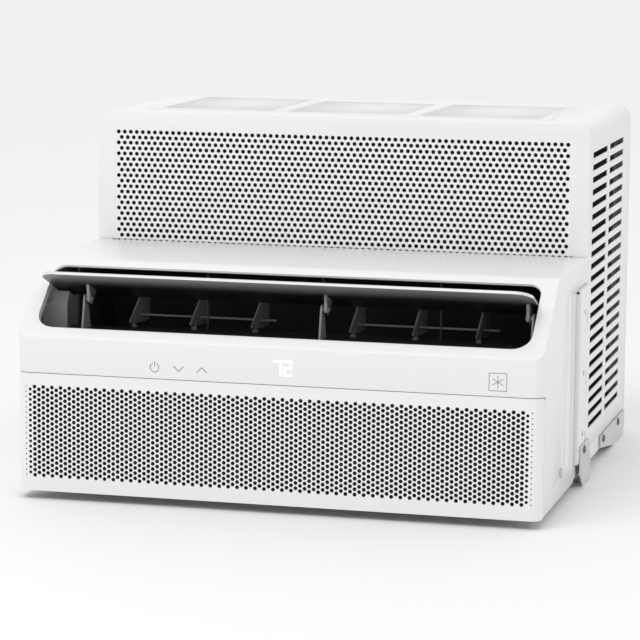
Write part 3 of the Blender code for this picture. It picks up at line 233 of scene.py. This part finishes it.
def paint_nodes():
    """Every CAD node that stays gets its slot's finish."""
    for part in frame["record"]["subparts"]:
        obj = frame["nodes"][part["node"]]
        paint(obj, FINISHES[part["material_slot"]])
        if part["node"].startswith("vane_"):
            paint(obj, VANE_GREY)
    for node in ("flap_drive_cover", "flap_hinge_left", "flap_hinge_centre", "flap_hinge_right"):
        paint(frame["nodes"][node], BLOCK_GREY)
    paint(frame["nodes"]["cord_inlet"], new_material("pale_bush", (0.55, 0.55, 0.55), 0.6, spread=0.05))
    for node in ("outlet_floor", "bulkhead"):
        paint(frame["nodes"][node], FINISHES["dark_plastic"])


# Mesh helpers


def new_piece(name, verts, faces, body="cabinet", material=None, smooth=35):
    mesh = bpy.data.meshes.new(name)
    mesh.from_pydata([tuple(v) for v in verts], [], faces)
    mesh.validate()
    mesh.update()
    obj = bpy.data.objects.new(name, mesh)
    bpy.context.scene.collection.objects.link(obj)
    if smooth:
        smooth_piece(obj, smooth)
    if material:
        obj.data.materials.append(material)
    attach(obj, body)
    return obj


def smooth_piece(obj, degrees):
    for face in obj.data.polygons:
        face.use_smooth = True
    obj.data.set_sharp_from_angle(angle=math.radians(degrees))


def staggered_plate(name, field, ends, tops, place, wall, radius_of, **kwargs):
    """A closed plate with staggered round holes in upright columns.

    field is (columns, column pitch, holes in an even column, hole pitch, lowest hole);
    ends are the column edges outside the field, tops gives the plate's low and high edge at u;
    place(u, v, depth) puts a flat point in space, and radius_of(column) is the hole's size there.
    """
    columns, pitch, rows, step, lowest = field
    index = {}
    verts = []
    faces = []

    def vertex(u, v, depth):
        key = (round(u * 1e6), round(v * 1e6), depth > 0)
        if key not in index:
            index[key] = len(verts)
            verts.append(place(u, v, depth))
        return index[key]

    def face(points):
        faces.append([vertex(u, v, 0.0) for u, v in points])
        faces.append([vertex(u, v, wall) for u, v in reversed(points)])

    half = (columns - 1) / 2
    low = lowest - step / 2
    high = lowest + (rows - 0.5) * step
    field_edge = (half + 0.5) * pitch
    for column in range(columns):
        left = (column - half - 0.5) * pitch
        right = left + pitch
        odd = column % 2
        for row in range(rows - odd):
            v = lowest + (row + 0.5 * odd) * step
            hole_cell(face, (left, right), v, step / 2, radius_of(column))
        if odd:
            for edge, inner in ((low, low + step / 2), (high, high - step / 2)):
                face(ordered((left, right), (edge, inner)))
        strips(face, (left, right), (tops(left)[0], tops(right)[0]), low, False)
        strips(face, (left, right), (tops(left)[1], tops(right)[1]), high, True)
    for side in (-1, 1):
        edges = [field_edge, *ends]
        for near, far in zip(edges, edges[1:]):
            pair = sorted((side * near, side * far))
            for half_step in range(2 * rows):
                v = low + half_step * step / 2
                face(ordered(pair, (v, v + step / 2)))
            strips(face, pair, (tops(pair[0])[0], tops(pair[1])[0]), low, False)
            strips(face, pair, (tops(pair[0])[1], tops(pair[1])[1]), high, True)
    sheets = len(faces)
    close_edges(faces)
    plate = new_piece(name, verts, faces, **kwargs)
    # The hole walls and the back of the sheet get near-black painted shade.
    plate.data.materials.append(HOLE_SHADE)
    for number, polygon in enumerate(plate.data.polygons):
        if number >= sheets or number % 2:
            polygon.material_index = 1
    return plate


def ordered(us, vs):
    """The four corners of a cell, anticlockwise."""
    low, high = sorted(vs)
    return [(us[0], low), (us[1], low), (us[1], high), (us[0], high)]


def strips(face, us, edge, inner, above):
    """The plain strip between the hole field and the plate's edge, which may slope."""
    if above:
        face([(us[0], inner), (us[1], inner), (us[1], edge[1]), (us[0], edge[0])])
    else:
        face([(us[0], edge[0]), (us[1], edge[1]), (us[1], inner), (us[0], inner)])


def hole_cell(face, us, v, half_step, radius):
    """A six-pointed cell round a twelve-sided hole."""
    centre = (us[0] + us[1]) / 2
    ring = []
    for step in range(HOLE_SIDES):
        angle = 2 * math.pi * step / HOLE_SIDES
        ring.append((centre + radius * math.cos(angle), v + radius * math.sin(angle)))
    rim = [
        (us[1], v), (us[1], v + half_step), (us[0], v + half_step),
        (us[0], v), (us[0], v - half_step), (us[1], v - half_step),
    ]
    for step in range(6):
        near = rim[step]
        far = rim[(step + 1) % 6]
        face([near, far, ring[(2 * step + 2) % HOLE_SIDES], ring[2 * step + 1], ring[2 * step]])


def close_edges(faces):
    """Joins the front and back sheets along every free edge."""
    seen = set()
    for face in faces[::2]:
        seen.update(zip(face, face[1:] + face[:1]))
    back = {}
    for front_face, back_face in zip(faces[::2], faces[1::2]):
        back.update(zip(front_face, reversed(back_face)))
    for start, end in sorted(seen):
        if (end, start) not in seen:
            faces.append([end, start, back[start], back[end]])


# Indoor grille, which wraps round both front corners


def wrap(u, z, depth):
    """The point at arc length u along the front outline, at height z, sunk by depth."""
    straight = SHELL_HIGH[0] - CORNER_RADIUS
    front = SHELL_LOW[1]
    side = math.copysign(1, u)
    run = abs(u) - straight
    if run <= 0:
        return (u, front + depth, z)
    angle = min(run / CORNER_RADIUS, math.pi / 2)
    rest = run - CORNER_RADIUS * angle
    reach = CORNER_RADIUS - depth
    x = straight + reach * math.sin(angle)
    y = front + CORNER_RADIUS - reach * math.cos(angle) + rest
    return (side * x, y, z)


def grille_radius(column):
    """The radius of the grille's holes in this column, smaller in the outermost ones."""
    from_end = min(column, GRILLE_COLUMNS - 1 - column)
    return GRILLE_HOLE_RADIUS * EDGE_COLUMN_SCALES[min(from_end, 2)]


def make_grille():
    """The wrapped grille, with its hole field and rounded ends."""
    low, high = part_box("front_grille")
    half_field = GRILLE_COLUMNS / 2 * GRILLE_COLUMN_PITCH
    straight = high[0] - CORNER_RADIUS
    reach = straight + CORNER_RADIUS * math.pi / 2 + high[1] - low[1] - CORNER_RADIUS - GRILLE_END_GAP
    rounding = reach - GRILLE_TOP_RADIUS
    first_step = 0.0005
    step = 0.001
    ends = [half_field + first_step + step * i for i in range(8)]
    ends += [rounding + GRILLE_TOP_RADIUS * math.sin(math.pi / 2 * i / 8) for i in range(9)]

    def edges(u):
        run = max(0.0, abs(u) - rounding)
        drop = GRILLE_TOP_RADIUS - math.sqrt(max(0.0, GRILLE_TOP_RADIUS**2 - run**2))
        return (low[2] + drop / 2, high[2] - drop)

    field = (GRILLE_COLUMNS, GRILLE_COLUMN_PITCH, GRILLE_ROWS, GRILLE_HOLE_PITCH, GRILLE_HOLES_LOW)
    grille = staggered_plate(
        "grille_panel", field, ends, edges, wrap, GRILLE_WALL, grille_radius,
        body="intake_grille", material=FINISHES["white_plastic"],
    )
    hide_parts("front_grille")


# Pieces that start as a copy of their CAD node


def copy_node(node, name, body="cabinet"):
    """A copy of a CAD node's mesh, which takes the node's place on its body."""
    source = frame["nodes"][node]
    obj = bpy.data.objects.new(name, source.data.copy())
    obj.matrix_world = source.matrix_world.copy()
    bpy.context.scene.collection.objects.link(obj)
    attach(obj, body)
    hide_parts(node)
    return obj


def apply_modifiers(obj):
    """Bakes the modifiers into the mesh."""
    graph = bpy.context.evaluated_depsgraph_get()
    mesh = bpy.data.meshes.new_from_object(obj.evaluated_get(graph))
    obj.modifiers.clear()
    obj.data = mesh


def weld(obj):
    """Joins points that lie on each other."""
    modifier = obj.modifiers.new("weld", "WELD")
    modifier.merge_threshold = 0.00001
    apply_modifiers(obj)


def round_ends(obj, width):
    """Rounds the long edges where the casing's slope and deck meet its sides."""
    mesh = obj.data
    weights = mesh.attributes.new("bevel_weight_edge", "FLOAT", "EDGE")
    normals = {}
    for polygon in mesh.polygons:
        for key in polygon.edge_keys:
            normals.setdefault(key, []).append(polygon.normal)
    arc_x = SHELL_HIGH[0] - CORNER_RADIUS
    arc_y = SHELL_LOW[1] + CORNER_RADIUS
    near = 0.0001
    least_angle = math.radians(30)

    def outer(index):
        x, y, z = mesh.vertices[index].co
        if z < CREASE_HEIGHT - near or abs(x) < arc_x:
            return False
        if y > arc_y:
            return SHELL_HIGH[0] - abs(x) < near
        return abs(math.hypot(abs(x) - arc_x, y - arc_y) - CORNER_RADIUS) < 2 * near

    for edge in mesh.edges:
        sides = normals.get(edge.key, [])
        if len(sides) != 2 or sides[0].angle(sides[1]) <= least_angle:
            continue
        if all(map(outer, edge.vertices)):
            weights.data[edge.index].value = 1.0
    modifier = obj.modifiers.new("round_ends", "BEVEL")
    modifier.width = width
    modifier.segments = 6
    modifier.limit_method = "WEIGHT"
    apply_modifiers(obj)


def soften(obj, width, segments=2, angle=32):
    """Rounds every edge sharper than the angle."""
    modifier = obj.modifiers.new("soft_edges", "BEVEL")
    modifier.width = width
    modifier.segments = segments
    modifier.limit_method = "ANGLE"
    modifier.angle_limit = math.radians(angle)
    modifier.use_clamp_overlap = True
    apply_modifiers(obj)
    smooth_piece(obj, 40)


def dissolve(obj):
    """Joins the flat triangles of one face, so that its edges can be rounded."""
    modifier = obj.modifiers.new("dissolve", "DECIMATE")
    modifier.decimate_type = "DISSOLVE"
    modifier.angle_limit = math.radians(1.0)
    apply_modifiers(obj)


def cut_box(obj, low, high):
    """Cuts the box between two corners out of the piece."""
    mesh = bpy.data.meshes.new("cutter")
    corners = [
        (x, y, z) for x in (low[0], high[0]) for y in (low[1], high[1]) for z in (low[2], high[2])
    ]
    quads = [(0, 1, 3, 2), (4, 6, 7, 5), (0, 4, 5, 1), (2, 3, 7, 6), (0, 2, 6, 4), (1, 5, 7, 3)]
    mesh.from_pydata(corners, [], quads)
    cutter = bpy.data.objects.new("cutter", mesh)
    bpy.context.scene.collection.objects.link(cutter)
    modifier = obj.modifiers.new("cut", "BOOLEAN")
    modifier.operation = "DIFFERENCE"
    modifier.solver = "EXACT"
    modifier.object = cutter
    apply_modifiers(obj)
    bpy.data.objects.remove(cutter)


def make_panel():
    """The outdoor front panel, with its hole field let into a cut in the sheet."""
    body = copy_node("outdoor_front_panel", "outdoor_panel")
    weld(body)
    dissolve(body)
    soften(body, 0.0012)
    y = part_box("outdoor_front_panel")[0][1]
    half_rows = PANEL_ROWS / 2
    before = 0.01
    past = 0.002
    low_z = PANEL_HOLES_CENTRE - half_rows * PANEL_ROW_PITCH
    high_z = PANEL_HOLES_CENTRE + half_rows * PANEL_ROW_PITCH
    half = PANEL_HOLES / 2 * PANEL_HOLE_PITCH
    cut_box(body, (-half, y - before, low_z), (half, y + PANEL_WALL + past, high_z))
    smooth_piece(body, 40)
    paint(body, FINISHES["white_paint"])

    def place(row, x, depth):
        return (x, y + depth, PANEL_HOLES_CENTRE + row)

    first_hole = -(PANEL_HOLES - 1) / 2 * PANEL_HOLE_PITCH
    field = (PANEL_ROWS, PANEL_ROW_PITCH, PANEL_HOLES, PANEL_HOLE_PITCH, first_hole)
    sheet = staggered_plate(
        "outdoor_hole_field", field, [], lambda row: (-half, half), place, PANEL_WALL,
        lambda row: PANEL_HOLE_RADIUS, material=FINISHES["white_paint"],
    )
    for polygon in sheet.data.polygons:
        polygon.flip()


def make_grille_shade_sheet():
    """A stiff near-black sheet of painted shade just behind the grille's holes, so that they read dark.
    """
    side_margin = 0.001
    low_margin = 0.004
    half = GRILLE_COLUMNS / 2 * GRILLE_COLUMN_PITCH + side_margin
    low = GRILLE_HOLES_LOW - low_margin
    high = GRILLE_HOLES_LOW + GRILLE_ROWS * GRILLE_HOLE_PITCH
    steps = 60
    columns = [-half + 2 * half * i / steps for i in range(steps + 1)]
    verts = [wrap(u, z, GRILLE_SHADE_SHEET_DEPTH) for u in columns for z in (low, high)]
    faces = [(2 * i, 2 * i + 2, 2 * i + 3, 2 * i + 1) for i in range(steps)]
    grille_shade = new_piece("grille_shade_sheet", verts, faces, body="intake_grille", material=SHADE_SHEET_BLACK)


def make_panel_shade_sheet():
    """A black sheet of painted shade behind the outdoor hole field, folded back at both ends."""
    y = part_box("outdoor_front_panel")[0][1] + PANEL_SHADE_SHEET_DEPTH
    half = PANEL_HOLES / 2 * PANEL_HOLE_PITCH + PANEL_SHADE_SHEET_FOLD
    inner = half - PANEL_SHADE_SHEET_FOLD
    rim = y - 0.005
    ends = ((-half, rim), (-inner, y), (inner, y), (half, rim))
    verts = [(x, back, z) for x, back in ends for z in (PANEL_SHADE_SHEET_LOW, PANEL_SHADE_SHEET_HIGH)]
    faces = [(2 * i, 2 * i + 2, 2 * i + 3, 2 * i + 1) for i in range(3)]
    panel_shade = new_piece("panel_shade_sheet", verts, faces, material=SHADE_SHEET_BLACK, smooth=0)


def make_top():
    """The outdoor case, with the shallow panels pressed into its top, their floors a light grey of
    painted shade.
    """
    case = copy_node("cabinet_wrapper", "outdoor_case")
    weld(case)
    dissolve(case)
    soften(case, 0.0006)
    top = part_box("cabinet_wrapper")[1][2]
    above = top + 0.01
    floor = top - PRESSING_DEPTH
    for low_x, high_x, low_y, high_y in TOP_PANELS:
        cut_box(case, (low_x, low_y, floor), (high_x, high_y, above))
    smooth_piece(case, 40)
    paint(case, FINISHES["white_paint"])
    # The pressing floors get a light grey of painted shade.
    case.data.materials.append(PRESSING_SHADE)
    for polygon in case.data.polygons:
        if abs(polygon.center.z - floor) < PRESSING_DEPTH / 4:
            polygon.material_index = 1


def make_shell():
    """The indoor casing, with the ends of its slope and deck rounded."""
    shell = copy_node("front_shell", "front_casing")
    weld(shell)
    dissolve(shell)
    round_ends(shell, SLOPE_END_RADIUS)
    soften(shell, 0.0015, 3, 45)
    paint(shell, FINISHES["white_plastic"])


def make_flap():
    """The flap: white outside, with painted shade inside going from grey at the front edge to
    near-black further back, and dark arms.
    """
    flap = copy_node("discharge_flap", "flap_leaf", "flap")
    weld(flap)
    arm_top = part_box("discharge_flap")[0][2] + FLAP_ARM_HEIGHT
    paint(flap, FINISHES["white_plastic"])
    flap.data.materials.append(FLAP_PAINTED_SHADE)
    flap.data.materials.append(BLOCK_GREY)
    outward = Vector((0, math.sin(FLAP_TILT), math.cos(FLAP_TILT)))
    for polygon in flap.data.polygons:
        facing = polygon.normal.dot(outward)
        # Faces turned away from the outside get the painted shade.
        if facing < -FACING_LIMIT:
            polygon.material_index = 1
        elif facing < FACING_LIMIT and polygon.center.z < arm_top:
            polygon.material_index = 2
    smooth_piece(flap, 30)


# Marks on the control strip


def ribbon(name, lines, width, centre, material):
    """Flat strokes on the upright front face, just in front of its plane."""
    y = SHELL_LOW[1] - MARK_LIFT
    verts = []
    faces = []
    for line in lines:
        for start, end in zip(line, line[1:]):
            start = Vector(start)
            end = Vector(end)
            along = (end - start).normalized() * width / 2
            across = Vector((-along.y, along.x))
            first = len(verts)
            near = start - along
            far = end + along
            for corner in (near - across, far - across, far + across, near + across):
                verts.append((centre[0] + corner.x, y, centre[1] + corner.y))
            faces.append((first, first + 1, first + 2, first + 3))
    return new_piece(name, verts, faces, material=material, smooth=0)


def arc(radius, start, end, steps=18):
    """Points along an arc round the origin, with its angles in degrees."""
    angles = [math.radians(start + (end - start) * i / steps) for i in range(steps + 1)]
    return [(radius * math.cos(a), radius * math.sin(a)) for a in angles]


SEGMENTS = {
    "a": ((0, 2), (1, 2)), "b": ((1, 2), (1, 1)), "c": ((1, 1), (1, 0)), "d": ((0, 0), (1, 0)),
    "e": ((0, 1), (0, 0)), "f": ((0, 2), (0, 1)), "g": ((0, 1), (1, 1)),
}
DIGITS = {"7": "abc", "2": "abged"}


def make_key_marks():
    """The power, down and up symbols."""
    height = 0.1465
    thin = 0.0006
    thick = 0.0007
    ring = arc(0.0048, 115, 425)
    stem = [(0, 0.0012), (0, 0.0062)]
    wide = 0.0052
    outer = 0.0022
    tip = 0.0028
    ribbon("power_mark", [ring, stem], thin, (-0.1280, height), INK)
    ribbon("down_mark", [[(-wide, outer), (0, -tip), (wide, outer)]], thick, (-0.1020, height), INK)
    ribbon("up_mark", [[(-wide, -tip), (0, outer), (wide, -tip)]], thick, (-0.0770, height), INK)


def make_digits():
    """The two lit digits."""
    size = 0.0070
    stroke = 0.0020
    centre = (0.0095, 0.1525)
    for left, digit in ((-0.009, "7"), (0.002, "2")):
        lines = []
        for segment in DIGITS[digit]:
            lines.append([(x * size + left, (z - 1) * size) for x, z in SEGMENTS[segment]])
        ribbon("lit_digit_" + digit, lines, stroke, centre, GLOW)


def make_corner_mark():
    """A generic square with a six-armed snowflake."""
    half = 0.009
    arm = 0.0062
    square = [(-half, -half), (half, -half), (half, half), (-half, half), (-half, -half)]
    spokes = []
    for step in range(6):
        angle = math.radians(60 * step + 30)
        spokes.append([(0, 0), (arm * math.cos(angle), arm * math.sin(angle))])
    ribbon("corner_mark", [square, *spokes], 0.0007, (0.2340, 0.1495), PALE_INK)


# Camera, lights and floor

CAMERA_LENS = 158.83
CAMERA_PLACE = (0.7634, -3.0318, 0.6326)
CAMERA_AZIMUTH = math.radians(14.557)
CAMERA_DROP = math.radians(8.567)
CAMERA_ROLL = math.radians(0.444)
WORLD_STRENGTH = 0.96
FLOOR_REACH = 40.0
FLOOR_GAP = 0.0005


def make_camera():
    """The camera at the photograph's viewing angle."""
    data = bpy.data.cameras.new("camera")
    data.lens = CAMERA_LENS
    data.sensor_width = 36
    data.clip_end = 50
    camera = bpy.data.objects.new("camera", data)
    turn = Matrix.Rotation(CAMERA_AZIMUTH, 3, "Z")
    turn = turn @ Matrix.Rotation(math.pi / 2 - CAMERA_DROP, 3, "X")
    camera.rotation_euler = (turn @ Matrix.Rotation(CAMERA_ROLL, 3, "Z")).to_euler()
    camera.location = CAMERA_PLACE
    bpy.context.scene.collection.objects.link(camera)
    bpy.context.scene.camera = camera


def add_light(name, place, target, size, power):
    """A round area light that faces the target."""
    data = bpy.data.lights.new(name, "AREA")
    data.shape = "DISK"
    data.size = size
    data.energy = power
    light = bpy.data.objects.new(name, data)
    light.location = place
    light.rotation_euler = (Vector(target) - Vector(place)).to_track_quat("-Z", "Y").to_euler()
    bpy.context.scene.collection.objects.link(light)


def make_world():
    """An even white studio."""
    world = bpy.data.worlds.new("studio")
    world.use_nodes = True
    background = world.node_tree.nodes["Background"]
    background.inputs["Color"].default_value = (1, 1, 1, 1)
    background.inputs["Strength"].default_value = WORLD_STRENGTH
    bpy.context.scene.world = world
    bpy.context.scene.view_settings.view_transform = "Standard"


def make_floor():
    """A plain pale floor just under the feet."""
    mesh = bpy.data.meshes.new("floor")
    reach = FLOOR_REACH
    corners = [(-reach, -reach, 0), (reach, -reach, 0), (reach, reach, 0), (-reach, reach, 0)]
    mesh.from_pydata(corners, [], [(0, 1, 2, 3)])
    floor = bpy.data.objects.new("floor", mesh)
    floor.location.z = -FLOOR_GAP
    bpy.context.scene.collection.objects.link(floor)
    mesh.materials.append(new_material("pale_floor", (0.9, 0.9, 0.9), 0.7))


def make_lights():
    """A soft key from above and a weak light into the outlet."""
    add_light("key", (-0.7, -1.5, 2.7), (0, 0, 0.2), 1.6, 18)
    add_light("low_front", (-0.5, -2.2, 0.05), (0, -0.1, 0.2), 0.5, 1.0)


paint_nodes()
make_camera()
make_world()
make_floor()
make_lights()
make_grille()
make_panel()
make_grille_shade_sheet()
make_panel_shade_sheet()
make_top()
make_shell()
make_flap()
make_key_marks()
make_digits()
make_corner_mark()
